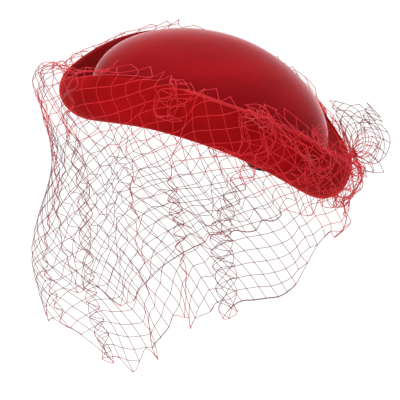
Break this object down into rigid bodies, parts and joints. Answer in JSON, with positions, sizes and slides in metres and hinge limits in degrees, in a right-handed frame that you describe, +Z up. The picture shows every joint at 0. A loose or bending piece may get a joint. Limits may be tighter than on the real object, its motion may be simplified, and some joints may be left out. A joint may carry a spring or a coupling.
{
  "type": "pillbox hat with birdcage veil",
  "caption": "Oval velvet hat: a domed crown in an upturned cuff, with a birdcage veil of coarse netting sewn round the rim and gathered to a tuft at the back.",
  "frame": {"origin": "where the hat sits on the head: the middle of its opening, level with the lowest points of the cuff's two ends in the hat's own tilted frame", "axes": "+Z up as worn, -Y towards the face, +X to the wearer's left; the hat itself is tipped back about X by 19.5 degrees"},
  "size_m": [0.1919, 0.2861, 0.2459],
  "materials": {
    "crown_velvet": "velvet with a soft sheen",
    "cuff_velvet": "velvet with a soft sheen",
    "netting": "stiff knotted netting",
    "thread": "sewing thread",
    "comb_plastic": "satin"
  },
  "bodies": {
    "root": {"crown": "crown_velvet", "cuff": "cuff_velvet", "veil": "netting", "back_tuft": "netting", "tuft_tie": "thread", "hair_comb": "comb_plastic"}
  },
  "joints": []
}
